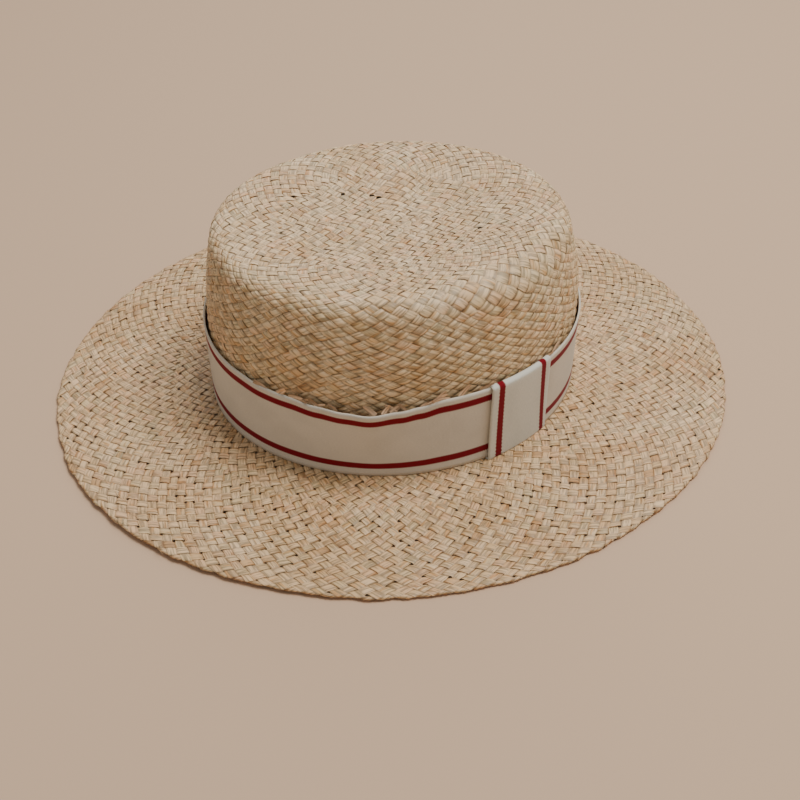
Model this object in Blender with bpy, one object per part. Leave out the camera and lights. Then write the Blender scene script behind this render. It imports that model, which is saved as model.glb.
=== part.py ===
"""Straw boater hat: a woven straw body, a striped ribbon band and the ribbon keeper that covers its join.

Metres, +Z up. The hat rests on its brim at height 0. The wearer faces -Y, so the wearer's left is +X.
Every ring of the hat is an oval round the Z axis: a point of it is (half width * cos, half length * sin).
Angles are in degrees, 0 at +X and growing towards +Y, so the front of the hat is at -90.
"""

import math

import bmesh
import bpy
import numpy as np

# Head opening, inside the straw
HEAD_LENGTH = 0.1900
HEAD_WIDTH = 0.1732

# Straw body
STRAW_WALL = 0.0015
CROWN_HEIGHT = 0.0965
CROWN_TAPER = 0.0056
TAPER_POWER = 3.0
SWELL_POWER = 1.8
CORNER_RADIUS = 0.0085
TIP_DISH = 0.0070
TIP_FLAT = 0.30
BREAK_RADIUS = 0.0015
BRIM_FRONT = 0.0828
BRIM_SIDE = 0.0788
BRIM_RISE = 0.0005
HEM_THICKNESS = 0.0021
HEM_WIDTH = 0.0080
HEM_STEP = 0.0015

# Ribbon band and keeper, cut from one ribbon
RIBBON_WIDTH = 0.0425
RIBBON_THICKNESS = 0.0010
LEAN_POWER = 1.5
KEEPER_ANGLE = 24.5
KEEPER_SKEW = 3.0
KEEPER_TAIL = 0.0050
KEEPER_EDGE_LIFT = 0.0009
GAP = 0.0003

# Steps of the meshes
STRAW_SEGMENTS = 72
BAND_SEGMENTS = 108
KEEPER_STEPS = 14
FOLD_STEPS = 6

# Where the straw is out of true. Each row: angle, corner softness as a multiple of the corner radius,
# drop of the rim and swell of the wall as shares of the crown height, lift of the brim's edge and
# extra reach of the brim as shares of the brim.
STRAW_DENTS = (
    # angle, softness, rim drop, swell, edge lift, extra reach
    (-170.0, 1.05, 0.000, 0.006, 0.000, 0.004),
    (-125.0, 0.95, 0.000, 0.004, 0.000, 0.004),
    (-95.0, 0.80, 0.018, 0.004, 0.005, 0.004),
    (-62.0, 0.80, 0.028, 0.006, 0.016, 0.004),
    (-38.0, 0.90, 0.025, 0.008, 0.012, -0.002),
    (-12.0, 1.25, 0.004, 0.008, 0.003, 0.004),
    (22.0, 1.70, -0.011, 0.010, 0.000, -0.004),
    (48.0, 1.70, -0.008, 0.014, 0.000, 0.008),
    (76.0, 1.30, 0.000, 0.016, 0.000, 0.006),
    (115.0, 1.10, 0.000, 0.010, 0.000, 0.000),
    (150.0, 1.05, 0.000, 0.008, 0.000, -0.004),
)

# How the ribbon band hangs off the crown. Each row: angle, how far its top edge stands off and
# how far its top edge dips, both as shares of the ribbon's width.
BAND_SLACK = (
    # angle, stand-off, dip
    (-165.0, 0.010, 0.000),
    (-107.0, 0.012, 0.000),
    (-62.0, 0.014, 0.000),
    (-40.0, 0.030, 0.000),
    (-24.0, 0.110, 0.055),
    (-9.0, 0.036, 0.000),
    (10.0, 0.040, 0.000),
    (38.0, 0.040, 0.000),
    (73.0, 0.018, 0.000),
    (120.0, 0.012, 0.000),
)

# Shares from the tip's centre to its rim, and steps down the wall and out along the brim
TIP_SHARES = (0.16, 0.32, 0.48, 0.62, 0.75, 0.87)
CORNER_STEPS = 5
WALL_SHARES = (0.86, 0.72, 0.58, 0.44, 0.30, 0.15, 0.0)
BREAK_STEPS = 3
BRIM_SHARES = (0.12, 0.30, 0.50, 0.70, 0.86)
EDGE_STEPS = 6

HALF_WIDTH = HEAD_WIDTH / 2 + STRAW_WALL
HALF_LENGTH = HEAD_LENGTH / 2 + STRAW_WALL
BRIM_TOP = BRIM_RISE + STRAW_WALL
WALL_FOOT = BRIM_TOP + BREAK_RADIUS
BAND_FOOT = BRIM_TOP + RIBBON_THICKNESS + 3 * GAP
BAND_TOP = BAND_FOOT + RIBBON_WIDTH
WALL_RUN = CROWN_HEIGHT - CORNER_RADIUS - WALL_FOOT
CORNER_END = math.atan(CROWN_TAPER * TAPER_POWER / WALL_RUN)


def clear_scene():
    """Removes whatever the scene holds."""
    for old in list(bpy.data.objects):
        bpy.data.objects.remove(old, do_unlink=True)


def ring_angles(count):
    """The angles of one full ring of this many points, in radians."""
    return np.arange(count) * (2 * math.pi / count)


def around(table, column, angles):
    """A column of a table at these angles: a cosine ease from each row to the next, closed round the hat."""
    rows = np.array(table)
    places = np.radians(rows[:, 0])
    values = rows[:, column]
    places = np.append(places, places[0] + 2 * math.pi)
    values = np.append(values, values[0])
    turned = (angles - places[0]) % (2 * math.pi) + places[0]
    before = np.clip(np.searchsorted(places, turned, side="right") - 1, 0, len(places) - 2)
    share = (turned - places[before]) / (places[before + 1] - places[before])
    ease = (1 - np.cos(math.pi * share)) / 2
    return values[before] * (1 - ease) + values[before + 1] * ease


def on_oval(outset, heights, angles):
    """Points at a distance outside the foot of the crown's wall, at these heights and angles."""
    outset, heights, angles = np.broadcast_arrays(outset, heights, angles)
    across = (HALF_WIDTH + outset) * np.cos(angles)
    along = (HALF_LENGTH + outset) * np.sin(angles)
    return np.stack([across, along, heights], axis=-1)


def wall_outset(share, angles):
    """How far outside its foot the wall is, at a share of its height: it swells a little, then tapers in."""
    swell = CROWN_HEIGHT * around(STRAW_DENTS, 3, angles)
    return swell * math.sin(math.pi * share**SWELL_POWER) ** 2 - CROWN_TAPER * share**TAPER_POWER


def brim_reach(angles):
    """The brim's width at these angles, from the foot of the wall."""
    front = np.sin(angles) ** 2
    even = BRIM_SIDE + (BRIM_FRONT - BRIM_SIDE) * front
    return even * (1 + around(STRAW_DENTS, 5, angles))


def brim_lift(angles):
    """How high the brim's edge is lifted off the surface at these angles."""
    return BRIM_FRONT * around(STRAW_DENTS, 4, angles)


def smooth(share):
    """An ease from 0 to 1 that is level at both ends."""
    return share * share * (3 - 2 * share)


def straw_top_rows(angles):
    """Rings of the straw's upper side, from the tip's first ring down the wall and out along the brim."""
    radius = CORNER_RADIUS * around(STRAW_DENTS, 1, angles)
    drop = CROWN_HEIGHT * around(STRAW_DENTS, 2, angles)
    rim = CROWN_HEIGHT - drop
    centre = -CROWN_TAPER - radius * math.cos(CORNER_END)
    rows = []
    for share in TIP_SHARES:
        full = on_oval(centre, 0.0, angles) * share
        slope = smooth(max(0.0, share - TIP_FLAT) / (1 - TIP_FLAT))
        full[:, 2] = CROWN_HEIGHT - drop * share**2 - TIP_DISH * (1 - slope)
        rows.append(full)
    for step in range(CORNER_STEPS):
        turn = math.pi / 2 + (CORNER_END - math.pi / 2) * step / (CORNER_STEPS - 1)
        height = rim - radius + radius * math.sin(turn)
        rows.append(on_oval(centre + radius * math.cos(turn), height, angles))
    wall_top = rim - radius + radius * math.sin(CORNER_END)
    for share in WALL_SHARES:
        height = WALL_FOOT + (wall_top - WALL_FOOT) * share
        rows.append(on_oval(wall_outset(share, angles), height, angles))
    for step in range(1, BREAK_STEPS + 1):
        turn = math.pi / 2 * step / BREAK_STEPS
        outset = BREAK_RADIUS * (1 - math.cos(turn))
        rows.append(on_oval(outset, WALL_FOOT - BREAK_RADIUS * math.sin(turn), angles))
    run = brim_reach(angles) - HEM_THICKNESS / 2 - BREAK_RADIUS
    for share in BRIM_SHARES:
        height = BRIM_TOP + (HEM_THICKNESS - BRIM_TOP) * share + brim_lift(angles) * share**2
        rows.append(on_oval(BREAK_RADIUS + run * share, height, angles))
    return rows


def hem_rows(angles):
    """Rings round the hem's edge and back under it to the step where the fold ends."""
    half = HEM_THICKNESS / 2
    reach = brim_reach(angles)
    lift = brim_lift(angles)
    rows = []
    for step in range(EDGE_STEPS + 1):
        turn = math.pi / 2 - math.pi * step / EDGE_STEPS
        outset = reach - half + half * math.cos(turn)
        rows.append(on_oval(outset, lift + half + half * math.sin(turn), angles))
    rows.append(on_oval(reach - HEM_WIDTH, lift, angles))
    return rows


def moved_in(rows, tip, distance):
    """The rings moved in along the skin's own normals. tip is the point that closes the first ring."""
    skin = np.array([np.repeat(tip[None], STRAW_SEGMENTS, axis=0), *rows])
    down = np.gradient(skin, axis=0)
    round_it = np.roll(skin, -1, axis=1) - np.roll(skin, 1, axis=1)
    normals = np.cross(down[1:], round_it[1:])
    normals /= np.linalg.norm(normals, axis=2, keepdims=True)
    return list(skin[1:] - normals * distance)


def closed_skin(name, rows, start=None, end=None, loop=False):
    """A mesh of rings joined in order, closed by a point at each end or back to its first ring."""
    bm = bmesh.new()
    rings = [[bm.verts.new(point) for point in row] for row in rows]
    pairs = list(zip(rings, rings[1:]))
    if loop:
        pairs.append((rings[-1], rings[0]))
    for upper, lower in pairs:
        for here in range(len(upper)):
            after = (here + 1) % len(upper)
            bm.faces.new((upper[here], lower[here], lower[after], upper[after]))
    for point, ring in ((start, rings[0]), (end, rings[-1])):
        if point is not None:
            pole = bm.verts.new(point)
            for here in range(len(ring)):
                bm.faces.new((pole, ring[here], ring[(here + 1) % len(ring)]))
    bmesh.ops.recalc_face_normals(bm, faces=bm.faces)
    mesh = bpy.data.meshes.new(name)
    bm.to_mesh(mesh)
    bm.free()
    mesh.shade_smooth()
    mesh.set_sharp_from_angle(angle=math.radians(40))
    return mesh


def place(name, mesh, colour, roughness):
    """Puts a mesh into the scene as a named sub-part with its own material."""
    material = bpy.data.materials.new(name)
    material.use_nodes = True
    shader = material.node_tree.nodes["Principled BSDF"]
    shader.inputs["Base Color"].default_value = (*colour, 1.0)
    shader.inputs["Roughness"].default_value = roughness
    shader.inputs["Metallic"].default_value = 0.0
    mesh.materials.append(material)
    part = bpy.data.objects.new(name, mesh)
    bpy.context.scene.collection.objects.link(part)
    return part


def make_straw_body():
    """Crown and brim, woven in one piece: an open shell with a hem folded under at its edge."""
    angles = ring_angles(STRAW_SEGMENTS)
    top = straw_top_rows(angles)
    tip = np.array([0.0, 0.0, CROWN_HEIGHT - TIP_DISH])
    under = moved_in(top, tip, STRAW_WALL)
    fold_end = on_oval(brim_reach(angles) - HEM_WIDTH - HEM_STEP, 0.0, angles)
    inner = under[-1]
    fold_end[:, 2] = inner[:, 2]
    rows = [*top, *hem_rows(angles), fold_end, *reversed(under[:-1])]
    tip_under = tip - np.array([0.0, 0.0, STRAW_WALL])
    return closed_skin("straw_body", rows, start=tip, end=tip_under)


def band_point(outset, share, angles):
    """A point of the band: outset from its inner face, at a share of its width up from its foot."""
    lean = RIBBON_WIDTH * around(BAND_SLACK, 1, angles) * share**LEAN_POWER
    dip = RIBBON_WIDTH * around(BAND_SLACK, 2, angles) * share
    return on_oval(GAP + lean + outset, BAND_FOOT + RIBBON_WIDTH * share - dip, angles)


def make_ribbon_band():
    """One ribbon round the foot of the crown, standing a little off the wall at its top edge."""
    angles = ring_angles(BAND_SEGMENTS)
    inner = [band_point(0.0, share, angles) for share in (0.0, 0.35, 0.7, 1.0)]
    outer = [band_point(RIBBON_THICKNESS, share, angles) for share in (1.0, 0.7, 0.35, 0.0)]
    return closed_skin("ribbon_band", inner + outer, loop=True)


def keeper_angles():
    """Angles across the keeper, which spans one ribbon width along the oval, in radians."""
    centre = math.radians(KEEPER_ANGLE)
    stretch = math.hypot(HALF_WIDTH * math.sin(centre), HALF_LENGTH * math.cos(centre))
    half = RIBBON_WIDTH / 2 / stretch
    return np.linspace(centre - half, centre + half, KEEPER_STEPS)


def keeper_line():
    """The middle of the keeper's ribbon, as rows of (outset from the band's inner face, height over its top).

    It runs up from the tail behind the band, over the band's top, down its front and back under its foot."""
    middle = RIBBON_THICKNESS / 2
    bend = RIBBON_THICKNESS + GAP
    front = bend + middle
    foot = -RIBBON_WIDTH - GAP - middle
    line = [(middle - bend, -KEEPER_TAIL), (middle - bend, -KEEPER_TAIL / 2)]
    for step in range(FOLD_STEPS + 1):
        turn = math.pi - math.pi * step / FOLD_STEPS
        line.append((middle + bend * math.cos(turn), bend * math.sin(turn)))
    for share in (0.72, 0.44, 0.16):
        line.append((front, -RIBBON_WIDTH * (1 - share)))
    for step in range(1, FOLD_STEPS // 2 + 1):
        turn = math.pi * step / FOLD_STEPS
        outset = front - RIBBON_THICKNESS * (1 - math.cos(turn))
        line.append((outset, foot + RIBBON_THICKNESS * (1 - math.sin(turn))))
    line.append((middle, foot))
    return np.array(line)


def make_ribbon_keeper():
    """A short length of the same ribbon, turned upright and wrapped over the band where its ends meet."""
    angles = keeper_angles()
    across = np.linspace(0.0, 1.0, KEEPER_STEPS)
    edge_lift = KEEPER_EDGE_LIFT * (1 - across) ** 4
    line = keeper_line()
    run = np.gradient(line, axis=0)
    normals = np.stack([-run[:, 1], run[:, 0]], axis=1)
    normals *= RIBBON_THICKNESS / 2 / np.linalg.norm(normals, axis=1, keepdims=True)
    sides = np.concatenate([line + normals, (line - normals)[::-1]])
    columns = []
    for angle, lift in zip(angles, edge_lift):
        heights = BAND_TOP + sides[:, 1]
        share = np.clip((heights - BAND_FOOT) / RIBBON_WIDTH, 0.0, 1.0)
        turned = angle + math.radians(KEEPER_SKEW) * (0.5 - share)
        lean = RIBBON_WIDTH * around(BAND_SLACK, 1, turned) * share**LEAN_POWER
        outward = np.where(sides[:, 0] > RIBBON_THICKNESS, lift, 0.0)
        columns.append(on_oval(GAP + lean + sides[:, 0] + outward, heights, turned))
    return capped_strip("ribbon_keeper", columns)


def capped_strip(name, sections):
    """A mesh of closed sections joined in order, with a face on the first and the last."""
    bm = bmesh.new()
    rings = [[bm.verts.new(point) for point in section] for section in sections]
    for first, second in zip(rings, rings[1:]):
        for here in range(len(first)):
            after = (here + 1) % len(first)
            bm.faces.new((first[here], second[here], second[after], first[after]))
    half = len(rings[0]) // 2
    for ring in (rings[0], rings[-1]):
        for here in range(half - 1):
            bm.faces.new((ring[here], ring[here + 1], ring[-here - 2], ring[-here - 1]))
    bmesh.ops.recalc_face_normals(bm, faces=bm.faces)
    mesh = bpy.data.meshes.new(name)
    bm.to_mesh(mesh)
    bm.free()
    mesh.shade_smooth()
    mesh.set_sharp_from_angle(angle=math.radians(40))
    return mesh


def main():
    clear_scene()
    place("straw_body", make_straw_body(), (0.60, 0.46, 0.30), 0.75)
    place("ribbon_band", make_ribbon_band(), (0.62, 0.57, 0.48), 0.85)
    place("ribbon_keeper", make_ribbon_keeper(), (0.62, 0.57, 0.48), 0.85)


main()
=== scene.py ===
"""Straw boater hat: strands of flat straw woven over and under each other, with a striped ribbon and keeper.

Metres, +Z up. The hat rests on its brim at height 0 and its wearer faces -Y. The straw follows one smooth
surface from the middle of the crown's tip, down the wall, out along the brim and back under its folded hem.
A place on that surface is (angle round the hat, distance from the tip's middle along the straw).
"""

import math

import bpy
import numpy as np
from bpy.props import FloatProperty, FloatVectorProperty, IntProperty, PointerProperty
from mathutils import Matrix, Vector
from numpy.random import default_rng


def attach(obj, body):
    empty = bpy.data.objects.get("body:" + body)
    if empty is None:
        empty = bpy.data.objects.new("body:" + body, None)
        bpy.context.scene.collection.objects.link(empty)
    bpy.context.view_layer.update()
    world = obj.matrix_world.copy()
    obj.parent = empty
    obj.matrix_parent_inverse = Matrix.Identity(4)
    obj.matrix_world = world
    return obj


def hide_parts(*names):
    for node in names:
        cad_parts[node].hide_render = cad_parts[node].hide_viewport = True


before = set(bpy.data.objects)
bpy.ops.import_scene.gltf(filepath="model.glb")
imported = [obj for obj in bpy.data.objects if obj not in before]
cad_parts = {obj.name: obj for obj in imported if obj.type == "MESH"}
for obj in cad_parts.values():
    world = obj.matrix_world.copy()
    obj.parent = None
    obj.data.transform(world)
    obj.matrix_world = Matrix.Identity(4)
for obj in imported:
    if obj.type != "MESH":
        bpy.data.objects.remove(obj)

bl_info = {
    "name": "Straw boater hat",
    "version": (1, 0, 0),
    "blender": (4, 5, 0),
    "location": "View3D > Sidebar > Boater",
    "description": "Weaves a straw boater hat and ties its striped ribbon",
    "category": "Add Mesh",
}

TURN = 2 * math.pi

# Rings of the straw's surface on each of its stretches, and columns round the hat.
TIP_RINGS, CORNER_RINGS, WALL_RINGS, FOOT_RINGS, BRIM_RINGS, FOLD_RINGS = 60, 15, 60, 5, 60, 8
COLUMNS = 360

# A strand's samples across it and in each cell of the weave.
ACROSS = np.linspace(-0.5, 0.5, 4)
SAMPLES = 6

# How squarely a strand goes from over to under: on tip and brim, and on the wall.
FLAT_DIVE, WALL_DIVE = 2.4, 1.3
# The largest sine of a strand's lean, where the rings grow too small for its pitch.
STEEPEST = 0.86
# How far below the straw's middle a strand's end is tucked, in reliefs.
TUCK = 1.7
# How much of the brim's gaping corners the crown has, and how far a hole opens, in strands.
CROWN_GAPE = 0.35
HOLE = 0.75
# Mean radius of the crown's oval, which turns a run along it into an angle.
OVAL_RADIUS = 0.093

# Noise in the straw for each cell of the weave along and each strand across: fibres and streaks.
FIBRES, STREAKS = (0.40, 4.6), (0.40, 2.3)
# What stained streaks and the darker brown at strand edges do to the straw's colour.
STAINED, EDGE_BROWN = (0.84, 0.67, 0.47, 1.0), (0.50, 0.38, 0.27, 1.0)
# Spacing of the ribbon's ribs, half the spacing of the teeth at a stripe's edge, and their height.
RIB, TOOTH, TOOTH_HEIGHT = 0.00062, 0.0006, 0.00022

LIGHTS = (
    # name, place, size, power, colour
    ("key", (0.14, 0.58, 1.78), 0.85, 29.8, (1.0, 0.975, 0.94)),
    ("back", (-1.60, 0.50, 1.10), 1.4, 9.5, (1.0, 0.985, 0.965)),
)
AMBIENT, AMBIENT_STRENGTH = (1.0, 0.985, 0.97, 1.0), 0.33
FLOOR_REACH, FLOOR_DROP = 6.0, 0.0002

# Where the straw is out of true. Each row: angle in degrees, corner softness as a multiple of the corner
# radius, drop of the rim and swell of the wall as shares of the crown height, lift of the brim's edge and
# extra reach of the brim as shares of the brim.
STRAW_DENTS = (
    (-170, 1.05, 0, 0.006, 0, 0.004),
    (-125, 0.95, 0, 0.004, 0, 0.004),
    (-95, 0.80, 0.018, 0.004, 0.005, 0.004),
    (-62, 0.80, 0.028, 0.006, 0.016, 0.004),
    (-38, 0.90, 0.025, 0.008, 0.012, -0.002),
    (-12, 1.25, 0.004, 0.008, 0.003, 0.004),
    (22, 1.70, -0.011, 0.010, 0, -0.004),
    (48, 1.70, -0.008, 0.014, 0, 0.008),
    (76, 1.30, 0, 0.016, 0, 0.006),
    (115, 1.10, 0, 0.010, 0, 0),
    (150, 1.05, 0, 0.008, 0, -0.004),
)

# How the ribbon hangs off the crown. Each row: angle in degrees, how far its top edge stands off and how
# far its top edge dips, both as shares of the ribbon's width.
BAND_SLACK = (
    (-165, 0.010, 0),
    (-107, 0.012, 0),
    (-66, 0.014, 0.030),
    (-56, 0.016, 0.050),
    (-46, 0.024, 0.046),
    (-37, 0.046, 0.070),
    (-29, 0.088, 0.071),
    (-22.5, 0.110, 0.081),
    (-14, 0.062, 0.061),
    (-8.5, 0.040, 0.038),
    (-2, 0.040, -0.014),
    (8, 0.040, -0.014),
    (38, 0.036, -0.004),
    (73, 0.018, 0),
    (120, 0.012, 0),
)

# The straw's shades, as multiples of its main colour. Each row: share of the strands, red, green, blue.
STRAW_SHADES = (
    (0.26, 1.00, 1.00, 1.00),
    (0.24, 1.10, 1.13, 1.18),
    (0.14, 0.95, 0.93, 0.88),
    (0.14, 1.06, 0.98, 0.98),
    (0.14, 0.96, 1.01, 1.00),
    (0.06, 0.95, 0.85, 0.74),
    (0.02, 0.78, 0.66, 0.54),
)

# Open corners in the tip's square weave and in the crown's rings, by strand and cross strand.
TIP_HOLES = ((-6, 5), (-5, 5), (-9, 3), (10, 4))
RING_HOLE = (42, 41)

# Ragged ends of straw that stick out over the ribbon's top edge: angle in degrees, how many.
LOOSE_ENDS = ((-52, 2), (-46, 2), (-40, 5), (-28, 2), (-19, 3), (-11, 3), (-3, 3), (7, 2), (36, 3))


def setting(kind, **fixed):
    """A maker of one kind of setting, which takes its name, description and default."""
    return lambda name, description, default: kind(name=name, description=description, default=default, **fixed)


size_prop = setting(FloatProperty, unit="LENGTH")
angle_prop = setting(FloatProperty, subtype="ANGLE")
number_prop = setting(FloatProperty)
count_prop = setting(IntProperty)
place_prop = setting(FloatVectorProperty, size=3, unit="LENGTH")
colour_prop = setting(FloatVectorProperty, size=3, subtype="COLOR")
tone_prop = setting(FloatVectorProperty, size=3)


class BoaterShape(bpy.types.PropertyGroup):
    """Sizes of the straw's surface."""

    head_length: size_prop("Head length", "Inside the crown, front to back", 0.1900)
    head_width: size_prop("Head width", "Inside the crown, side to side", 0.1732)
    wall: size_prop("Straw wall", "Thickness of the woven straw", 0.0015)
    crown_height: size_prop("Crown height", "From the table to the rim", 0.0965)
    taper: size_prop("Crown taper", "How far the wall leans in by its top", 0.0056)
    taper_power: number_prop("Taper power", "How late the wall starts to lean in", 3.0)
    swell_power: number_prop("Swell power", "How high up the wall swells", 1.8)
    corner: size_prop("Corner radius", "Round of the crown's rim", 0.0085)
    dish: size_prop("Tip dish", "How deep the tip sinks", 0.0070)
    dish_flat: number_prop("Dish flat", "Share of the tip that is level", 0.30)
    brim_front: size_prop("Brim at front", "Width of the brim at front and back", 0.0828)
    brim_side: size_prop("Brim at side", "Width of the brim at the sides", 0.0788)
    brim_rise: size_prop("Brim rise", "Gap under the brim at the crown", 0.0005)
    hem_thickness: size_prop("Hem thickness", "Two layers of straw at the edge", 0.0021)
    hem_width: size_prop("Hem width", "How far the straw is turned under", 0.0080)


class BoaterWeave(bpy.types.PropertyGroup):
    """The strands of the weave."""

    pitch: size_prop("Strand pitch", "Strand spacing", 0.0042)
    brim_pitch: size_prop("Brim pitch", "Strand spacing on the brim", 0.0044)
    middle: size_prop("Middle radius", "Where the square weave ends", 0.050)
    middle_turn: angle_prop("Middle turn", "Turn of the square weave", math.radians(39))
    crown_strands: count_prop("Crown strands", "Strands each way round the crown", 66)
    brim_strands: count_prop("Brim strands", "Strands each way at the ribbon", 104)
    edge_strands: count_prop("Edge strands", "Strands each way at the brim's edge", 132)
    edge_start: number_prop("Edge start", "Share of the brim where strands are added", 0.30)
    relief: size_prop("Relief", "How far a strand stands over its middle", 0.00036)
    wall_relief: size_prop("Wall relief", "Extra relief on the wall", 0.00020)
    bulge: size_prop("Strand bulge", "How round a strand's back is", 0.00014)
    brim_tone: tone_prop("Brim tone", "The brim's colour over the crown's", (0.93, 0.89, 0.845))
    # A painted tint: the wall is coloured cooler than the tip to offset the warm light that the brim bounces onto
    # it.
    wall_bounce_tint: tone_prop("Wall tone", "The wall's colour over the tip's", (0.985, 1.03, 1.055))
    # Painted shade: how dark the straw's colour is made where a strand dives under the next one.
    painted_shade: number_prop("Painted shade", "How dark the straw is where it dives under", 0.75)
    wander: size_prop("Wander", "How far the weave strays from regular", 0.0010)
    edge_rough: size_prop("Edge roughness", "How ragged the brim's edge is", 0.0004)
    gape_share: number_prop("Gape share", "Share of the corners that gape", 0.30)
    gape_size: number_prop("Gape size", "How far a corner gapes, in strands", 0.14)


class BoaterColours(bpy.types.PropertyGroup):
    """Colours of straw and ribbon."""

    straw: colour_prop("Straw", "Main colour of the straw", (0.72, 0.505, 0.285))
    cloth: colour_prop("Ribbon", "Ground of the ribbon", (0.745, 0.685, 0.575))
    stripe: colour_prop("Stripe", "Stripes of the ribbon", (0.215, 0.001, 0.009))
    floor: colour_prop("Floor", "Studio floor", (0.66, 0.465, 0.315))


class BoaterRibbon(bpy.types.PropertyGroup):
    """The ribbon and its keeper."""

    width: size_prop("Ribbon width", "Width of the ribbon", 0.0440)
    thickness: size_prop("Ribbon thickness", "Thickness of the ribbon", 0.0008)
    space: size_prop("Ribbon space", "Room that the ribbon takes up on the crown", 0.0010)
    gap: size_prop("Gap", "Gap between ribbon and straw", 0.0003)
    foot: size_prop("Ribbon foot", "Height of the ribbon's lower edge", 0.0024)
    lean_power: number_prop("Lean power", "How the ribbon leans out towards its top", 1.5)
    stripe_inset: size_prop("Stripe inset", "From the ribbon's edge to a stripe's middle", 0.0062)
    stripe_shift: size_prop("Stripe shift", "How far up the band both stripes sit", 0.0007)
    # The keeper's colour is painted lighter and cooler than the band's, standing in for the brighter light on the
    # keeper.
    keeper_light_tint: tone_prop("Keeper tone", "The keeper's colour over the band's", (1.02, 1.09, 1.14))
    stripe_width: size_prop("Stripe width", "Width of a stripe", 0.0039)
    keeper_angle: angle_prop("Keeper angle", "Where the keeper sits", math.radians(23.8))
    keeper_skew: angle_prop("Keeper skew", "How far the keeper's foot is turned on", math.radians(1.6))
    keeper_top: number_prop("Keeper top", "Width of its top as a share of the ribbon", 0.84)
    keeper_foot: number_prop("Keeper foot", "Width of its foot as a share of the ribbon", 0.945)
    keeper_tail: size_prop("Keeper tail", "Length tucked behind the band", 0.0050)
    keeper_lift: size_prop("Keeper lift", "How far the keeper's free edge stands up", 0.0009)


class BoaterStudio(bpy.types.PropertyGroup):
    """Camera and light."""

    camera: place_prop("Camera", "Place of the camera", (0.49262, -0.14998, 0.39231))
    aim: place_prop("Aim", "What the camera looks at", (0.028486, -0.005418, 0.0))
    roll: angle_prop("Roll", "Turn of the picture", -0.010)
    lens: number_prop("Lens", "Focal length on a 36 mm sensor", 53.4)


def smooth(share):
    """An ease from 0 to 1, level at both ends: 3 share squared less 2 share cubed."""
    return share * share * (3 - 2 * share)


def ease(value):
    """The same ease of a value that is first held between 0 and 1."""
    return smooth(np.clip(value, 0, 1))


def around(table, column, angles):
    """A column of a table at these angles: a cosine ease from each row to the next, closed round the hat."""
    rows = np.array(table)
    places = np.append(np.radians(rows[:, 0]), np.radians(rows[0, 0]) + TURN)
    values = np.append(rows[:, column], rows[0, column])
    turned = (angles - places[0]) % TURN + places[0]
    before = np.clip(np.searchsorted(places, turned, side="right") - 1, 0, len(places) - 2)
    share = (turned - places[before]) / (places[before + 1] - places[before])
    part = (1 - np.cos(math.pi * share)) / 2
    return values[before] * (1 - part) + values[before + 1] * part


def on_oval(shape, outset, heights, angles):
    """Points at a distance outside the foot of the crown's wall: ((a + outset) cos, (b + outset) sin, height)."""
    outset, heights, angles = np.broadcast_arrays(outset, heights, angles)
    across = (shape.head_width / 2 + shape.wall + outset) * np.cos(angles)
    along = (shape.head_length / 2 + shape.wall + outset) * np.sin(angles)
    return np.stack([across, along, heights], axis=-1)


def straw_profile(shape, angles):
    """Rings of the straw's outer skin from the tip's middle to the brim's edge, one row of points per ring.

    The tip is flat, then eases up to the rim. The corner is an arc. The wall is a swell sin squared of a power
    of its height, less a taper that is a power of its height. The brim rises evenly, lifted by share squared."""
    brim_top = shape.brim_rise + shape.wall
    wall_foot = brim_top + shape.wall
    radius = shape.corner * around(STRAW_DENTS, 1, angles)
    drop = shape.crown_height * around(STRAW_DENTS, 2, angles)
    swell = shape.crown_height * around(STRAW_DENTS, 3, angles)
    lift = shape.brim_front * around(STRAW_DENTS, 4, angles)
    even = shape.brim_side + (shape.brim_front - shape.brim_side) * np.sin(angles) ** 2
    reach = even * (1 + around(STRAW_DENTS, 5, angles))
    rim = shape.crown_height - drop
    corner_end = math.atan(shape.taper * shape.taper_power / (shape.crown_height - shape.corner - wall_foot))
    centre = -shape.taper - radius * math.cos(corner_end)
    rows = []
    for share in np.linspace(0.0, 1.0, TIP_RINGS + 1)[:-1]:
        row = on_oval(shape, centre, 0.0, angles) * share
        slope = smooth(max(0.0, share - shape.dish_flat) / (1 - shape.dish_flat))
        row[:, 2] = shape.crown_height - drop * share**2 - shape.dish * (1 - slope)
        rows.append(row)
    for turn in np.linspace(math.pi / 2, corner_end, CORNER_RINGS):
        height = rim - radius + radius * math.sin(turn)
        rows.append(on_oval(shape, centre + radius * math.cos(turn), height, angles))
    wall_top = rim - radius + radius * math.sin(corner_end)
    for share in np.linspace(1.0, 0.0, WALL_RINGS + 1)[1:]:
        outset = swell * math.sin(math.pi * share**shape.swell_power) ** 2 - shape.taper * share**shape.taper_power
        rows.append(on_oval(shape, outset, wall_foot + (wall_top - wall_foot) * share, angles))
    for turn in np.linspace(0.0, math.pi / 2, FOOT_RINGS + 1)[1:]:
        height = wall_foot - shape.wall * math.sin(turn)
        rows.append(on_oval(shape, shape.wall * (1 - math.cos(turn)), height, angles))
    run = reach - shape.hem_thickness / 2 - shape.wall
    for share in np.linspace(0.0, 1.0, BRIM_RINGS + 1)[1:]:
        height = brim_top + (shape.hem_thickness - brim_top) * share + lift * share**2
        rows.append(on_oval(shape, shape.wall + run * share, height, angles))
    return np.array(rows), reach, lift


def outward_normals(table):
    """Unit normals of a table of points closed round the hat: (step along the straw) x (step round the hat)."""
    down = np.gradient(table, axis=0)
    beside = np.roll(table, -1, axis=1) - np.roll(table, 1, axis=1)
    normals = np.cross(down, beside)
    normals[0] = (0.0, 0.0, 1.0)
    return normals / np.linalg.norm(normals, axis=2, keepdims=True)


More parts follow.
